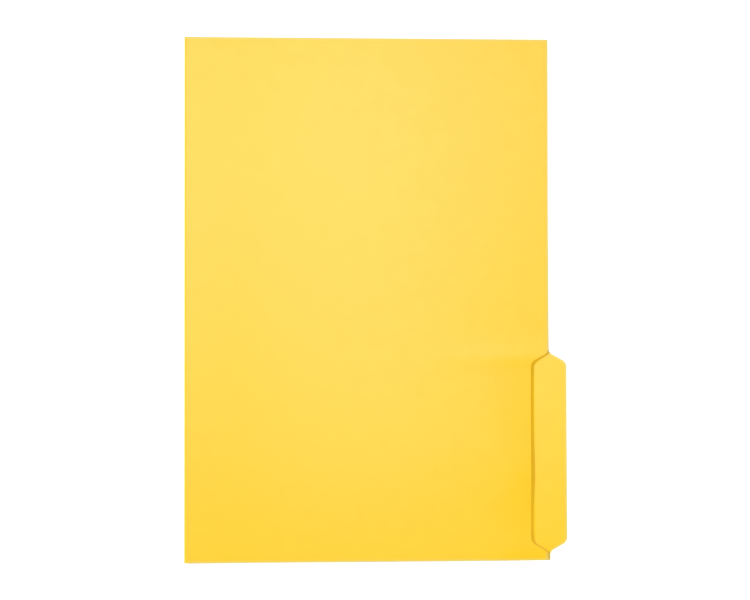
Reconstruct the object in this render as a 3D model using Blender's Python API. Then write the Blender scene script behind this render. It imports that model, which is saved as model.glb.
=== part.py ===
"""A card file folder, closed and lying flat: one die-cut sheet, creased and folded once.

The fold runs along the left side. The back leaf lies underneath and carries the index tab, which stands
out past the free edge near its lower end. The front leaf lies on top, with a notch that leaves the tab in
view. The crease between them is a half-round strip of the same card, which flattens as the folder opens.

Metres, +Z up. X runs from the fold to the tab, Y runs along the fold, and the origin is under the middle
of the closed folder's box.
"""

import math

import bpy
from mathutils import Matrix, Vector

# The folded sheet
FOLDER_HEIGHT = 0.348  # along the fold
FRONT_LEAF_WIDTH = 0.242  # from the fold's outer face to the free edge, closed
FREE_EDGE_STEP = 0.001  # how much further than the front leaf the back leaf reaches
CARD_THICKNESS = 0.0004
LEAF_GAP = 0.0018  # clear space between the closed leaves, where the papers go
CREASE_CLEARANCE = 0.0003  # between the crease and each leaf

# The index tab on the back leaf. The front leaf's notch is cut by the same die line, mirrored.
TAB_REACH = 0.0113  # how far the tab stands out, and how deep the notch goes in
TAB_LENGTH = 0.1325  # along the free edge, at the tab's foot
TAB_MARGIN = 0.0057  # from the folder's lower edge to the tab's foot
SHOULDER_SLOPE = math.radians(30)  # how far each end of the tab leans from square
TAB_FOOT_RADIUS = 0.004
TAB_CORNER_RADIUS = 0.005
ARC_STEPS = 10  # straight pieces in each rounded corner
CREASE_STEPS = 16  # straight pieces round the crease

# Card colour, as linear red, green and blue
CARD_COLOUR = (0.93, 0.57, 0.005)
CARD_ROUGHNESS = 0.45

# Places worked out from the sizes
BACK_LEAF_WIDTH = FRONT_LEAF_WIDTH + FREE_EDGE_STEP
OVERALL_WIDTH = BACK_LEAF_WIDTH + TAB_REACH
FOLD_FACE_X = -OVERALL_WIDTH / 2
CREASE_INNER_RADIUS = LEAF_GAP / 2
CREASE_OUTER_RADIUS = CREASE_INNER_RADIUS + CARD_THICKNESS
CREASE_X = FOLD_FACE_X + CREASE_OUTER_RADIUS
LEAF_START_X = CREASE_X + CREASE_CLEARANCE
FRONT_EDGE_X = FOLD_FACE_X + FRONT_LEAF_WIDTH
BACK_EDGE_X = FOLD_FACE_X + BACK_LEAF_WIDTH
LOWER_EDGE_Y = -FOLDER_HEIGHT / 2
UPPER_EDGE_Y = FOLDER_HEIGHT / 2
TAB_LOW_Y = LOWER_EDGE_Y + TAB_MARGIN
TAB_HIGH_Y = TAB_LOW_Y + TAB_LENGTH
MIDDLE_Z = CARD_THICKNESS + LEAF_GAP / 2
LEAF_OFFSET_Z = (LEAF_GAP + CARD_THICKNESS) / 2  # from the middle plane to each leaf's own middle
HINGE_X = FOLD_FACE_X + CARD_THICKNESS / 2  # the line in the card that stays put as the fold opens


def remove_scene_objects():
    for thing in list(bpy.data.objects):
        bpy.data.objects.remove(thing, do_unlink=True)


def corner_arc(before, corner, after, radius):
    """Points of the arc of this radius that touches both sides of a corner."""
    arriving = (corner - before).normalized()
    leaving = (after - corner).normalized()
    turn = math.atan2(arriving.cross(leaving), arriving.dot(leaving))
    start = corner - arriving * radius * math.tan(abs(turn) / 2)
    centre = start + math.copysign(radius, turn) * Vector((-arriving.y, arriving.x))
    spoke = start - centre
    return [centre + Matrix.Rotation(turn * step / ARC_STEPS, 2) @ spoke for step in range(ARC_STEPS + 1)]


def rounded_outline(corners):
    """Points of a closed outline, from corners given as x, y and radius. A radius of 0 is a sharp corner."""
    points = []
    for index, (x, y, radius) in enumerate(corners):
        corner = Vector((x, y))
        before = Vector(corners[index - 1][:2])
        after = Vector(corners[(index + 1) % len(corners)][:2])
        points += corner_arc(before, corner, after, radius) if radius else [corner]
    return points


def tab_corners(edge_x, reach):
    """The die line round the tab, from its lower foot up: it leaves the edge at edge_x by reach, out or in."""
    run = abs(reach) * math.tan(SHOULDER_SLOPE)
    return [
        (edge_x, TAB_LOW_Y, TAB_FOOT_RADIUS),
        (edge_x + reach, TAB_LOW_Y + run, TAB_CORNER_RADIUS),
        (edge_x + reach, TAB_HIGH_Y - run, TAB_CORNER_RADIUS),
        (edge_x, TAB_HIGH_Y, TAB_FOOT_RADIUS),
    ]


def leaf_outline(edge_x, reach):
    """A leaf from the crease to its free edge at edge_x, going round it anticlockwise."""
    return rounded_outline(
        [
            (LEAF_START_X, LOWER_EDGE_Y, 0),
            (edge_x, LOWER_EDGE_Y, 0),
            *tab_corners(edge_x, reach),
            (edge_x, UPPER_EDGE_Y, 0),
            (LEAF_START_X, UPPER_EDGE_Y, 0),
        ]
    )


def crease_outline():
    """The crease's half ring, seen along the fold: its outer side from top to bottom, then back inside."""
    turns = [math.pi * (0.5 + step / CREASE_STEPS) for step in range(CREASE_STEPS + 1)]
    outer = [CREASE_OUTER_RADIUS * Vector((math.cos(turn), math.sin(turn))) for turn in turns]
    inner = [CREASE_INNER_RADIUS * Vector((math.cos(turn), math.sin(turn))) for turn in reversed(turns)]
    return outer + inner


def card_material(name):
    material = bpy.data.materials.new(name)
    material.use_nodes = True
    shader = material.node_tree.nodes["Principled BSDF"]
    shader.inputs["Base Color"].default_value = (*CARD_COLOUR, 1)
    shader.inputs["Roughness"].default_value = CARD_ROUGHNESS
    shader.inputs["Metallic"].default_value = 0
    return material


def card_piece(name, collection, outline, thickness):
    """A piece of card with this outline in X and Y, centred on its own Z."""
    curve = bpy.data.curves.new(name, "CURVE")
    curve.dimensions = "2D"
    curve.fill_mode = "BOTH"
    curve.extrude = thickness / 2
    spline = curve.splines.new("POLY")
    spline.points.add(len(outline) - 1)
    for point, place in zip(spline.points, outline):
        point.co = (place.x, place.y, 0, 1)
    spline.use_cyclic_u = True
    curve.materials.append(card_material(name + "_card"))
    piece = bpy.data.objects.new(name, curve)
    collection.objects.link(piece)
    return piece


def build_back_leaf(collection):
    """The lower leaf, with the index tab in one piece with it."""
    leaf = card_piece("back_leaf", collection, leaf_outline(BACK_EDGE_X, TAB_REACH), CARD_THICKNESS)
    leaf.location.z = MIDDLE_Z - LEAF_OFFSET_Z
    return leaf


def build_fold_crease(collection):
    """The half-round strip that joins the leaves, its profile turned upright and drawn out along the fold."""
    crease = card_piece("fold_crease", collection, crease_outline(), FOLDER_HEIGHT)
    crease.location = (CREASE_X, 0, MIDDLE_Z)
    crease.rotation_euler.x = math.pi / 2
    return crease


def build_front_leaf(collection):
    """The upper leaf, with the notch over the tab, hung on the fold's hinge line."""
    hinge = bpy.data.objects.new("fold_hinge", None)
    hinge.location = (HINGE_X, 0, MIDDLE_Z)
    collection.objects.link(hinge)
    leaf = card_piece("front_leaf", collection, leaf_outline(FRONT_EDGE_X, -TAB_REACH), CARD_THICKNESS)
    leaf.parent = hinge
    leaf.location = (-HINGE_X, 0, LEAF_OFFSET_Z)
    return leaf


def build_folder():
    folder = bpy.data.collections.new("file_folder")
    bpy.context.scene.collection.children.link(folder)
    build_back_leaf(folder)
    build_fold_crease(folder)
    build_front_leaf(folder)


remove_scene_objects()
build_folder()
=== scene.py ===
"""Looks of a yellow card file folder, lying closed with its index tab at the lower right."""

import math

import bmesh
import bpy
from mathutils import Matrix, Vector
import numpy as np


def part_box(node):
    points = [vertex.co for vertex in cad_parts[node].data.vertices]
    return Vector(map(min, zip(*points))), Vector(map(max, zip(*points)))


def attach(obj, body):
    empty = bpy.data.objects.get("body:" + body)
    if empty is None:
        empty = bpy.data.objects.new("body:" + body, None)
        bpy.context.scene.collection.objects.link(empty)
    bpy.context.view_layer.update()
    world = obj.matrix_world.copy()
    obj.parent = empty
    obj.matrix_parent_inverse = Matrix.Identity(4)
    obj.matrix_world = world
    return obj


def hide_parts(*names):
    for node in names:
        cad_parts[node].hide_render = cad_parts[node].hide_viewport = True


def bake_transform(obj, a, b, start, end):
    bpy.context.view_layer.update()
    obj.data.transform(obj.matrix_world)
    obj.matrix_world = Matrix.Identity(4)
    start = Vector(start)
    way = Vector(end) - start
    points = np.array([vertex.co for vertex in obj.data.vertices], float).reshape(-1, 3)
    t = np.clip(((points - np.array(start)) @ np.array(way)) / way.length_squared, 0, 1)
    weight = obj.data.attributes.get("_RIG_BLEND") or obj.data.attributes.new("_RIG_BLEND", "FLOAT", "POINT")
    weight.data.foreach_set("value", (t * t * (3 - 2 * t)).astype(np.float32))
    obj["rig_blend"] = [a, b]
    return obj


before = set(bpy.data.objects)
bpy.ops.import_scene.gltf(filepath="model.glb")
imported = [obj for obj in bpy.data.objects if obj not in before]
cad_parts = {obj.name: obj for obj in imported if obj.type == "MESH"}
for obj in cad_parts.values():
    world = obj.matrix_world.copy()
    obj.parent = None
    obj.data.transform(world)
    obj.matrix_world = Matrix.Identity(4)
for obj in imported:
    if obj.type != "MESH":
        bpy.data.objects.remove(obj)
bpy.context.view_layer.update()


# The camera
# It looks almost straight down on the folder from a little over a metre, as the photograph does. The lens
# is a short telephoto on a full frame, which keeps the folder's corners square.
CAMERA_PLACE = (-0.06605, -0.03062, 1.1766)
CAMERA_TURN = (1.464, -3.171, -0.117)  # degrees about X, Y and Z
CAMERA_LENS = 85.0
NEAREST_SEEN = 0.01

camera = bpy.data.objects.new("camera", bpy.data.cameras.new("camera"))
camera.location = CAMERA_PLACE
camera.rotation_euler = [math.radians(turn) for turn in CAMERA_TURN]
camera.data.lens = CAMERA_LENS
camera.data.clip_start = NEAREST_SEEN
bpy.context.scene.collection.objects.link(camera)
bpy.context.scene.camera = camera
bpy.context.scene.view_settings.view_transform = "Standard"


# The floor
# A broad table top of white opal acrylic, lit a little from below so that it stays plain white round the
# folder and the shadows on it are faint.
FLOOR_SIZE = 12.0
FLOOR_DROP = 0.00003  # keeps the table's face just clear of the card's
FLOOR_WHITE = "F6F6F4"
FLOOR_ROUGHNESS = 0.9
FLOOR_GLOSS = 0.2
FLOOR_GLOW = 0.4


def hex_colour(text):
    """A colour given as sRGB hex, in the linear values that the shaders take."""
    parts = [int(text[place : place + 2], 16) / 255 for place in (0, 2, 4)]
    return [part / 12.92 if part <= 0.04045 else ((part + 0.055) / 1.055) ** 2.4 for part in parts] + [1.0]


def add_node(tree, kind, settings, links):
    """A node of this kind, with values for its sockets or its own settings, and links to its sockets."""
    node = tree.nodes.new(kind)
    for name, value in settings.items():
        if isinstance(name, int) or name in node.inputs:
            node.inputs[name].default_value = value
        else:
            setattr(node, name, value)
    for name, source in links.items():
        tree.links.new(source, node.inputs[name])
    return node


def new_material(name):
    """A material with nothing in its node tree yet, and that tree."""
    material = bpy.data.materials.new(name)
    material.use_nodes = True
    material.node_tree.nodes.clear()
    return material, material.node_tree


def new_piece(name, mesh_maker, materials):
    """An object made from a bmesh, which it uses up, with these materials in its slots."""
    mesh = bpy.data.meshes.new(name)
    mesh_maker.to_mesh(mesh)
    mesh_maker.free()
    for material in materials:
        mesh.materials.append(material)
    piece = bpy.data.objects.new(name, mesh)
    bpy.context.scene.collection.objects.link(piece)
    return piece


# Opal acrylic scatters light inside itself, which gives an even white with hardly any gloss.
opal_table, tree = new_material("opal_acrylic_table")
shader = add_node(
    tree,
    "ShaderNodeBsdfPrincipled",
    {
        "Base Color": hex_colour(FLOOR_WHITE),
        "Roughness": FLOOR_ROUGHNESS,
        "Specular IOR Level": FLOOR_GLOSS,
        "Emission Color": (1, 1, 1, 1),
        "Emission Strength": FLOOR_GLOW,
    },
    {},
)
add_node(tree, "ShaderNodeOutputMaterial", {}, {"Surface": shader.outputs["BSDF"]})
floor_mesh = bmesh.new()
bmesh.ops.create_grid(floor_mesh, x_segments=1, y_segments=1, size=FLOOR_SIZE / 2)
bmesh.ops.translate(floor_mesh, verts=floor_mesh.verts, vec=(0, 0, -FLOOR_DROP))
new_piece("floor", floor_mesh, [opal_table])


# The studio lights
# A large softbox overhead glosses the card's upper half, and a small one brightens its middle. Two low
# lamps throw and fill the short shadow on the tab, behind polarising sheets that keep glare off the card.
LIGHTS = {  # tilt from straight overhead and turn from +X in degrees, then metres and watts
    "top_softbox": {"tilt": 10.8, "round": 80.3, "distance": 2.4, "size": 0.65, "power": 16.6},
    "left_lamp": {"tilt": 60.0, "round": 172.0, "distance": 2.5, "size": 0.3, "power": 56.5},
    "right_softbox": {"tilt": 62.0, "round": -32.5, "distance": 1.1, "size": 0.4, "power": 4.15},
    "camera_softbox": {"tilt": 5.0, "round": -78.0, "distance": 1.25, "size": 0.25, "power": 1.32},
}
LOW_LAMP_TILT = 45  # degrees from straight overhead
SURROUND_OVERHEAD = 0.17
SURROUND_HORIZON = 0.7
PALE_BELOW = 0.08  # heights of the direction looked in, where 0 is level and 1 straight up
DIM_ABOVE = 0.3

for name, light in LIGHTS.items():
    softbox = bpy.data.lights.new(name, "AREA")
    softbox.shape = "SQUARE"
    softbox.size = light["size"]
    softbox.energy = light["power"]
    holder = bpy.data.objects.new(name, softbox)
    swing = Matrix.Rotation(math.radians(light["round"]), 4, "Z")
    tilt = Matrix.Rotation(math.radians(light["tilt"]), 4, "Y")
    holder.matrix_world = swing @ tilt @ Matrix.Translation((0, 0, light["distance"]))
    holder.visible_camera = False
    holder.visible_glossy = light["tilt"] < LOW_LAMP_TILT
    bpy.context.scene.collection.objects.link(holder)

# The surround is dim overhead and pale round the horizon.
surround = bpy.data.worlds.new("surround")
surround.use_nodes = True
surround.node_tree.nodes.clear()
sky = add_node(surround.node_tree, "ShaderNodeTexCoord", {}, {})
height = add_node(surround.node_tree, "ShaderNodeSeparateXYZ", {}, {"Vector": sky.outputs["Generated"]})
brightness = add_node(
    surround.node_tree,
    "ShaderNodeMapRange",
    {
        "From Min": PALE_BELOW,
        "From Max": DIM_ABOVE,
        "To Min": SURROUND_HORIZON,
        "To Max": SURROUND_OVERHEAD,
    },
    {"Value": height.outputs["Z"]},
)
background = add_node(
    surround.node_tree,
    "ShaderNodeBackground",
    {"Color": (1, 1, 1, 1)},
    {"Strength": brightness.outputs["Result"]},
)
add_node(surround.node_tree, "ShaderNodeOutputWorld", {}, {"Surface": background.outputs["Background"]})
bpy.context.scene.world = surround


# The blank
# One sheet of 300 g/m2 card, flat as it leaves the press. A steel-rule die cuts its outline, with the tab
# on one free edge and the notch in the other, and a blunt rule creases it up the middle.
back_low, back_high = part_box("back_leaf")
front_low, front_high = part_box("front_leaf")
crease_low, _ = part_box("fold_crease")

CARD_THICKNESS = back_high.z - back_low.z
TAB_REACH = 0.0113  # how far the tab stands out, and how deep the notch goes in
TAB_LENGTH = 0.1325
TAB_MARGIN = 0.0057  # from the lower edge to the tab's foot
SHOULDER_SLOPE = math.radians(30)
TAB_FOOT_RADIUS = 0.004
TAB_CORNER_RADIUS = 0.005
UPPER_BLADE_SHIFT = 0.00045  # the blades above the tab and notch stand this far to one side
ARC_STEPS = 8
CREASE_STEPS = 16
RUBBED_RIM = 0.0019  # how far handling rubs the card in from a cut edge
EVEN_RIM = 0.0008  # a second ring of faces, between the rub and the grid
NOTCH_MARGIN = 0.0005  # a point this far in from the straight edges belongs to the notch
# Distances from the crease, close together where the press leaves its groove
PRESS_COLUMNS = (0.0, 0.001, 0.0017, 0.0021, 0.0025, 0.0029, 0.0033, 0.0037, 0.0044, 0.006, 0.009)
GRID_PITCH = 0.007
FIRST_GRID_COLUMN = 2  # the columns of the press line come before it
NOTCH_PITCH = 0.001  # between points where the back leaf slopes past the notch
SHOULDER_ROWS = 3  # about as many rows at this pitch lie past each end of the upper shoulder
CUT_SNAP = 0.00003

back_middle_z = (back_low.z + back_high.z) / 2
front_middle_z = (front_low.z + front_high.z) / 2
fold_middle_z = (back_middle_z + front_middle_z) / 2
bend_radius = (front_middle_z - back_middle_z) / 2
bend_x = crease_low.x + CARD_THICKNESS / 2 + bend_radius
half_bend = math.pi * bend_radius / 2
crease_half_width = half_bend + back_low.x - bend_x
lower_edge, upper_edge = back_low.y, back_high.y
back_edge = half_bend + back_high.x - TAB_REACH - bend_x
front_edge = -(half_bend + front_high.x - bend_x)
shoulder_run = TAB_REACH * math.tan(SHOULDER_SLOPE)
tab_low = lower_edge + TAB_MARGIN
tab_high = tab_low + TAB_LENGTH


def die_line(edge):
    """The corners of the tab or notch, from the lower foot up, each with how far its rounding runs."""
    share = math.tan((math.pi / 2 - SHOULDER_SLOPE) / 2)
    return [
        (edge, tab_low, TAB_FOOT_RADIUS * share),
        (edge + TAB_REACH, tab_low + shoulder_run, TAB_CORNER_RADIUS * share),
        (edge + TAB_REACH, tab_high - shoulder_run, TAB_CORNER_RADIUS * share),
        (edge - UPPER_BLADE_SHIFT, tab_high, TAB_FOOT_RADIUS * share),
    ]


corners = [
    (front_edge, lower_edge, 0),
    (back_edge, lower_edge, 0),
    *die_line(back_edge),
    (back_edge - UPPER_BLADE_SHIFT, upper_edge, 0),
    (front_edge - UPPER_BLADE_SHIFT, upper_edge, 0),
    *reversed(die_line(front_edge)),
]
blank = bmesh.new()
points = [blank.verts.new((across, along, 0)) for across, along, _ in corners]
blank.faces.new(points)
for point, (_, _, length) in zip(points, corners):
    if length:
        bmesh.ops.bevel(
            blank,
            geom=[point],
            offset=length,
            offset_type="OFFSET",
            segments=ARC_STEPS,
            profile=0.5,
            affect="VERTICES",
            material=-1,
        )
for ring in (RUBBED_RIM, EVEN_RIM):
    middle = max(blank.faces, key=lambda face: face.calc_area())
    bmesh.ops.inset_individual(blank, faces=[middle], thickness=ring, use_even_offset=True)
rubbed = blank.verts.layers.float.new("rubbed")
for point in blank.verts:
    on_front = front_edge + NOTCH_MARGIN < point.co.x < 0
    in_notch = on_front and abs(point.co.y) < upper_edge - NOTCH_MARGIN
    point[rubbed] = 1.0 if point.is_boundary and not in_notch else 0.0


def cut_sheet(sheet, place, facing, clear=False):
    """A cut through the flat sheet along a plane, which can clear away the side that the plane faces."""
    bmesh.ops.bisect_plane(
        sheet,
        geom=sheet.verts[:] + sheet.edges[:] + sheet.faces[:],
        dist=CUT_SNAP,
        plane_co=place,
        plane_no=facing,
        clear_outer=clear,
    )


both_sides = (-1, 1)
column_steps = range(FIRST_GRID_COLUMN, int(back_edge / GRID_PITCH) + 1)
notch_steps = range(-1, round(TAB_REACH / NOTCH_PITCH) + 1)
columns = [half_bend * (2 * step / CREASE_STEPS - 1) for step in range(CREASE_STEPS + 1)]
columns += [side * (crease_half_width + distance) for distance in PRESS_COLUMNS for side in both_sides]
columns += [side * (step * GRID_PITCH + half_bend) for step in column_steps for side in both_sides]
columns += [-front_edge - TAB_REACH + step * NOTCH_PITCH for step in notch_steps]
for column in columns:
    cut_sheet(blank, (column, 0, 0), (1, 0, 0))

row_steps = range(1, round((upper_edge - lower_edge) / GRID_PITCH))
shoulder_steps = range(-round(shoulder_run / NOTCH_PITCH) - SHOULDER_ROWS, SHOULDER_ROWS)
rows = [lower_edge + step * GRID_PITCH for step in row_steps]
rows += [tab_high + step * NOTCH_PITCH for step in shoulder_steps]
for row in rows:
    cut_sheet(blank, (0, row, 0), (0, 1, 0))

flat_place = blank.loops.layers.uv.new("flat_sheet")
for face in blank.faces:
    face.smooth = True
    for loop in face.loops:
        loop[flat_place].uv = loop.vert.co.xy


# The card
# Dyed in the pulp and calendered, so its yellow goes right through and is even, with a low eggshell gloss,
# faint clouds of fibre and a fine tooth. Handling greys its cut edges, a band of painted shade darkens the
# card along the fold, and the cut itself is open fibre.
CARD_YELLOW = "F7C70F"
CARD_CLOUD = "F6C50D"
CARD_RUBBED = "D6C96A"
# The next colour is painted shade for the band along the fold, darker than the card.
FOLD_PAINTED_SHADE = "D2AE45"
CUT_EDGE = "EFC640"
CUT_EDGE_DARK = "E2B22C"
CLOUD_SIZE = 0.011
FIBRE_LENGTH = 0.002
FIBRE_WIDTH = 0.0003
FIBRE_LEAN = 0.12  # radians from the fold
# How far the fold's painted shade reaches to either side of the crease.
FOLD_SHADE_REACH = 0.0026
WEAR_AND_SHADE_PATCH_SIZE = 0.006
TOOTH_SIZE = 0.0005
TOOTH_DEPTH = 0.00004
SMOOTHEST, ROUGHEST = 0.353, 0.367
PLY_LENGTH = 0.004
PLY_THICKNESS = 0.0001
PLY_DEPTH = 0.00004

# Calendering gives the face its close, even yellow and a gloss that stays low.
card_face, tree = new_material("calendered_dyed_card")
flat = add_node(tree, "ShaderNodeUVMap", {"uv_map": "flat_sheet"}, {})
clouds = add_node(
    tree,
    "ShaderNodeTexNoise",
    {"Scale": 1 / CLOUD_SIZE, "Detail": 3.0, "Roughness": 0.55},
    {"Vector": flat.outputs["UV"]},
)
cloud_share = add_node(
    tree,
    "ShaderNodeMapRange",
    {"From Min": 0.35, "From Max": 0.65, "To Min": 0.0, "To Max": 1.0},
    {"Value": clouds.outputs["Fac"]},
)
clouded = add_node(
    tree,
    "ShaderNodeMix",
    {"data_type": "RGBA", 6: hex_colour(CARD_YELLOW), 7: hex_colour(CARD_CLOUD)},
    {0: cloud_share.outputs["Result"]},
)
# Single fibres are about 2 mm long and 0.03 mm wide. They are drawn ten times as wide, so that they show.
fibre_lie = add_node(
    tree,
    "ShaderNodeMapping",
    {"Rotation": (0, 0, FIBRE_LEAN), "Scale": (1 / FIBRE_WIDTH, 1 / FIBRE_LENGTH, 1.0)},
    {"Vector": flat.outputs["UV"]},
)
fibres = add_node(
    tree,
    "ShaderNodeTexNoise",
    {"Scale": 1.0, "Detail": 2.0, "Roughness": 0.6, "Distortion": 0.4},
    {"Vector": fibre_lie.outputs["Vector"]},
)
rim_rub = add_node(tree, "ShaderNodeAttribute", {"attribute_name": "rubbed"}, {})
sides = add_node(tree, "ShaderNodeSeparateXYZ", {}, {"Vector": flat.outputs["UV"]})
from_fold = add_node(tree, "ShaderNodeMath", {"operation": "ABSOLUTE"}, {0: sides.outputs["X"]})
# Painted shade: the card is darkened near the fold, to hold down the light the low lamp throws on the bend.
fold_painted_shade = add_node(
    tree,
    "ShaderNodeMapRange",
    {
        "From Min": 0.0,
        "From Max": FOLD_SHADE_REACH,
        "To Min": 1.0,
        "To Max": 0.0,
        "interpolation_type": "SMOOTHSTEP",
    },
    {"Value": from_fold.outputs["Value"]},
)
# The greyed rub on the cut edges and the painted shade along the fold, whichever is stronger.
wear_and_fold_shade = add_node(
    tree,
    "ShaderNodeMath",
    {"operation": "MAXIMUM"},
    {0: rim_rub.outputs["Fac"], 1: fold_painted_shade.outputs["Result"]},
)
# The rub on the cut edges and the painted shade along the fold come and go every few millimetres, but never
# quite stop.
patchy_wear_and_shade = add_node(
    tree,
    "ShaderNodeTexNoise",
    {"Scale": 1 / WEAR_AND_SHADE_PATCH_SIZE, "Detail": 4.0, "Roughness": 0.7},
    {"Vector": flat.outputs["UV"]},
)
broken_wear_and_shade = add_node(
    tree,
    "ShaderNodeMapRange",
    {"From Min": 0.35, "From Max": 0.65, "To Min": 0.55, "To Max": 1.0},
    {"Value": patchy_wear_and_shade.outputs["Fac"]},
)
wear_and_fold_shade_share = add_node(
    tree,
    "ShaderNodeMath",
    {"operation": "MULTIPLY"},
    {0: wear_and_fold_shade.outputs["Value"], 1: broken_wear_and_shade.outputs["Result"]},
)
# The cut edges take the greyed rub colour, and the fold takes the darker painted shade colour.
wear_or_fold_shade_colour = add_node(
    tree,
    "ShaderNodeMix",
    {"data_type": "RGBA", 6: hex_colour(CARD_RUBBED), 7: hex_colour(FOLD_PAINTED_SHADE)},
    {0: fold_painted_shade.outputs["Result"]},
)
coloured = add_node(
    tree,
    "ShaderNodeMix",
    {"data_type": "RGBA"},
    {0: wear_and_fold_shade_share.outputs["Value"], 6: clouded.outputs[2], 7: wear_or_fold_shade_colour.outputs[2]},
)
gloss = add_node(
    tree,
    "ShaderNodeMapRange",
    {"From Min": 0.3, "From Max": 0.7, "To Min": SMOOTHEST, "To Max": ROUGHEST},
    {"Value": clouds.outputs["Fac"]},
)
# The real tooth is under 0.1 mm. It is drawn at 0.5 mm, which is as fine as a close view can show.
tooth = add_node(
    tree,
    "ShaderNodeTexNoise",
    {"Scale": 1 / TOOTH_SIZE, "Detail": 2.0, "Roughness": 0.5},
    {"Vector": flat.outputs["UV"]},
)
relief = add_node(
    tree,
    "ShaderNodeMix",
    {"data_type": "FLOAT", 0: 0.5},
    {2: tooth.outputs["Fac"], 3: fibres.outputs["Fac"]},
)
tooth_bump = add_node(
    tree,
    "ShaderNodeBump",
    {"Strength": 0.25, "Distance": TOOTH_DEPTH},
    {"Height": relief.outputs[0]},
)
shader = add_node(
    tree,
    "ShaderNodeBsdfPrincipled",
    {"IOR": 1.5, "Diffuse Roughness": 0.2},
    {
        "Base Color": coloured.outputs[2],
        "Roughness": gloss.outputs["Result"],
        "Normal": tooth_bump.outputs["Normal"],
    },
)
add_node(tree, "ShaderNodeOutputMaterial", {}, {"Surface": shader.outputs["BSDF"]})

# The die leaves the cut edge as open fibre, which looks paler and quite matt, in thin layers.
card_edge, tree = new_material("die_cut_card_edge")
place = add_node(tree, "ShaderNodeTexCoord", {}, {})
# Plies of about 0.05 mm run level through the edge. They are drawn twice as thick, so that they show.
ply_lie = add_node(
    tree,
    "ShaderNodeMapping",
    {"Scale": (1 / PLY_LENGTH, 1 / PLY_LENGTH, 1 / PLY_THICKNESS)},
    {"Vector": place.outputs["Object"]},
)
plies = add_node(
    tree,
    "ShaderNodeTexNoise",
    {"Scale": 1.0, "Detail": 3.0, "Roughness": 0.65},
    {"Vector": ply_lie.outputs["Vector"]},
)
ply_colour = add_node(
    tree,
    "ShaderNodeMix",
    {"data_type": "RGBA", 6: hex_colour(CUT_EDGE_DARK), 7: hex_colour(CUT_EDGE)},
    {0: plies.outputs["Fac"]},
)
ply_bump = add_node(
    tree,
    "ShaderNodeBump",
    {"Strength": 0.5, "Distance": PLY_DEPTH},
    {"Height": plies.outputs["Fac"]},
)
shader = add_node(
    tree,
    "ShaderNodeBsdfPrincipled",
    {"Roughness": 0.85, "IOR": 1.5, "Diffuse Roughness": 0.6},
    {"Base Color": ply_colour.outputs[2], "Normal": ply_bump.outputs["Normal"]},
)
add_node(tree, "ShaderNodeOutputMaterial", {}, {"Surface": shader.outputs["BSDF"]})


# The back leaf
# The lower half of the sheet, which lies on the table and carries the tab. Card is never quite flat: it
# bows up under the front leaf, slopes down again past the notch, and the tab curls up to its tip.
BACK_SKEW = 0.0003  # how far out of square the free edge is
EDGE_ROLL = 0.00005  # how far the die rolls the cut edges down
RIDGE_HEIGHT = 0.0006
RIDGE_RUN = 0.06
SLOPE_START = -0.0006  # from the notch's edge, outwards
SLOPE_END = 0.0021
TAB_CURL = 0.0009
LOWER_FADE = 0.012  # from the lower edge up, the ridge and the curl grow over this
UPPER_FADE = 0.025  # above the tab they fade over this
FADED_OUT = 0.165  # and are gone this far from the lower edge
PAST_THE_SHEET = 1.0


def ease(value):
    """Goes from 0 to 1 as value does, without a corner at either end."""
    value = min(max(value, 0.0), 1.0)
    return value * value * (3 - 2 * value)


def back_settle(across, along):
    """How far a point of the back leaf lies from its even place, sideways and up."""
    out = (across - crease_half_width) / (back_edge - crease_half_width)
    up = (along - lower_edge) / (upper_edge - lower_edge)
    past_edge = across + front_edge
    past_shoulder = past_edge * math.sin(SHOULDER_SLOPE) + (tab_high - along) * math.cos(SHOULDER_SLOPE)
    past_notch = min(past_edge + TAB_REACH, past_shoulder)
    ridge = RIDGE_HEIGHT * ease(1 + (past_notch - SLOPE_START) / RIDGE_RUN)
    ridge *= 1 - ease((past_notch - SLOPE_START) / (SLOPE_END - SLOPE_START))
    curl = TAB_CURL * max(past_edge + TAB_REACH - SLOPE_END, 0) / (2 * TAB_REACH - SLOPE_END)
    beside_tab = ease((along - lower_edge) / LOWER_FADE)
    beside_tab *= ease((lower_edge + FADED_OUT - along) / UPPER_FADE)
    return Vector((-BACK_SKEW * out * up, 0, max(ridge, curl) * beside_tab))


def folded(across, along):
    """Where a point of the flat sheet lies once the folder is folded shut, halfway through the card."""
    turn = min(max((half_bend - across) / bend_radius, 0.0), math.pi)
    level = max(abs(across) - half_bend, 0.0)
    return Vector(
        (bend_x + level - bend_radius * math.sin(turn), along, fold_middle_z - bend_radius * math.cos(turn))
    )


def part_of_blank(name, start, end, settle):
    """The blank between two lines along the fold, folded shut, settled and given its thickness."""
    part = blank.copy()
    cut_sheet(part, (start, 0, 0), (-1, 0, 0), clear=True)
    cut_sheet(part, (end, 0, 0), (1, 0, 0), clear=True)
    rolled = part.verts.layers.float["rubbed"]
    for point in part.verts:
        across, along, _ = point.co
        point.co = folded(across, along) + settle(across, along)
        # The roll keeps off the fold, where the parts have to meet.
        if abs(across) > crease_half_width + GRID_PITCH:
            point.co.z = max(point.co.z - EDGE_ROLL * point[rolled], CARD_THICKNESS / 2)
    for edge in part.edges:
        edge.smooth = not edge.is_boundary
    piece = new_piece(name, part, [card_face, card_edge])
    wall = piece.modifiers.new("card_thickness", "SOLIDIFY")
    wall.thickness = CARD_THICKNESS
    wall.offset = 0
    wall.material_offset_rim = 1
    return piece


back_leaf = part_of_blank("back_leaf_card", crease_half_width, PAST_THE_SHEET, back_settle)
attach(back_leaf, "back")
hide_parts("back_leaf")


# The fold
# The strip of card that the creasing rule pressed into a half-round bend. It joins the back leaf to the
# front leaf without a seam, and bends with them as the folder opens.
fold = part_of_blank(
    "fold_crease_card", -crease_half_width, crease_half_width, lambda across, along: Vector()
)
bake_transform(fold, "back", "front", start=(bend_x, 0, back_middle_z), end=(bend_x, 0, front_middle_z))
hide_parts("fold_crease")


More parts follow.
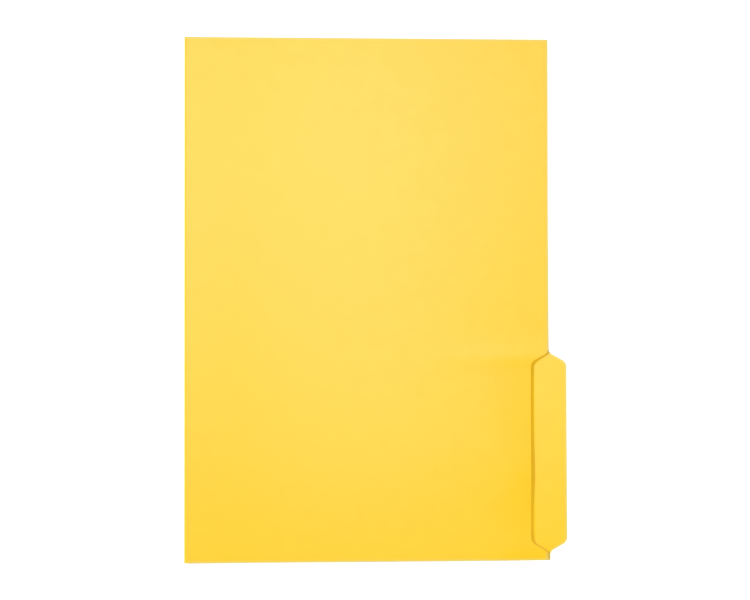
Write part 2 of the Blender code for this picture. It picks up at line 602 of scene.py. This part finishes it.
# The front leaf
# The upper half of the sheet, with the notch that leaves the tab in view. It hangs from the fold and sinks
# a little beside it. Its free edge dips towards the back leaf, all but three places that spring up.
FOLD_DROP = 0.00053
FOLD_DROP_RUN = 0.032
RECOVERY_START, RECOVERY_RUN = 0.14, 0.56  # shares of the leaf's width
FRONT_EDGE_DIP = 0.00103
CURL_START = 0.8  # share of the width where the lower part of the edge starts to dip
CURL_LIMIT = 1.12
LOWER_PART, LOWER_PART_FADE = 0.15, 0.35  # shares of the leaf's height
SPRING_START = 0.6  # share of the width
EDGE_SPRINGS = (  # the place up the edge and the reach along it are shares of the leaf's height
    {"place": 0.174, "reach": 0.05, "height": 0.00058},
    {"place": 0.389, "reach": 0.02, "height": 0.0005},
    {"place": 0.022, "reach": 0.022, "height": 0.0005},
)
FRONT_SKEW = 0.0008  # how far out of square the free edge is
GROOVE_DEPTH = 0.00002  # the press leaves a shallow groove beside the fold
GROOVE_PLACE = 0.0029
GROOVE_WIDTH = 0.0009
GROOVE_FADE = 0.001

front_width = -front_edge - crease_half_width
notch_out = 1 - TAB_REACH / front_width


def front_settle(across, along):
    """How far a point of the front leaf lies from its even place, sideways and down."""
    past_fold = -across - crease_half_width
    out = past_fold / front_width
    up = (along - lower_edge) / (upper_edge - lower_edge)
    sunk = 1 - (1 - min(past_fold / FOLD_DROP_RUN, 1)) ** 2
    drop = FOLD_DROP * sunk * (1 - ease((out - RECOVERY_START) / RECOVERY_RUN))
    low = 1 - ease((up - LOWER_PART) / LOWER_PART_FADE)
    curl = min(max(out - CURL_START, 0) / (notch_out - CURL_START), CURL_LIMIT) ** 2
    edge = FRONT_EDGE_DIP * (low * curl + (1 - low) * ease(out))
    sprung = ease((out - SPRING_START) / (1 - SPRING_START))
    for spring in EDGE_SPRINGS:
        near = math.exp(-(((up - spring["place"]) / spring["reach"]) ** 2))
        edge -= spring["height"] * sprung * near
    groove = GROOVE_DEPTH * math.exp(-(((past_fold - GROOVE_PLACE) / GROOVE_WIDTH) ** 2))
    groove *= ease(past_fold / GROOVE_FADE)
    return Vector((-FRONT_SKEW * out * (1 - up), 0, -(max(drop + edge, 0) + groove)))


front_leaf = part_of_blank("front_leaf_card", -PAST_THE_SHEET, -crease_half_width, front_settle)
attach(front_leaf, "front")
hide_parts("front_leaf")

blank.free()
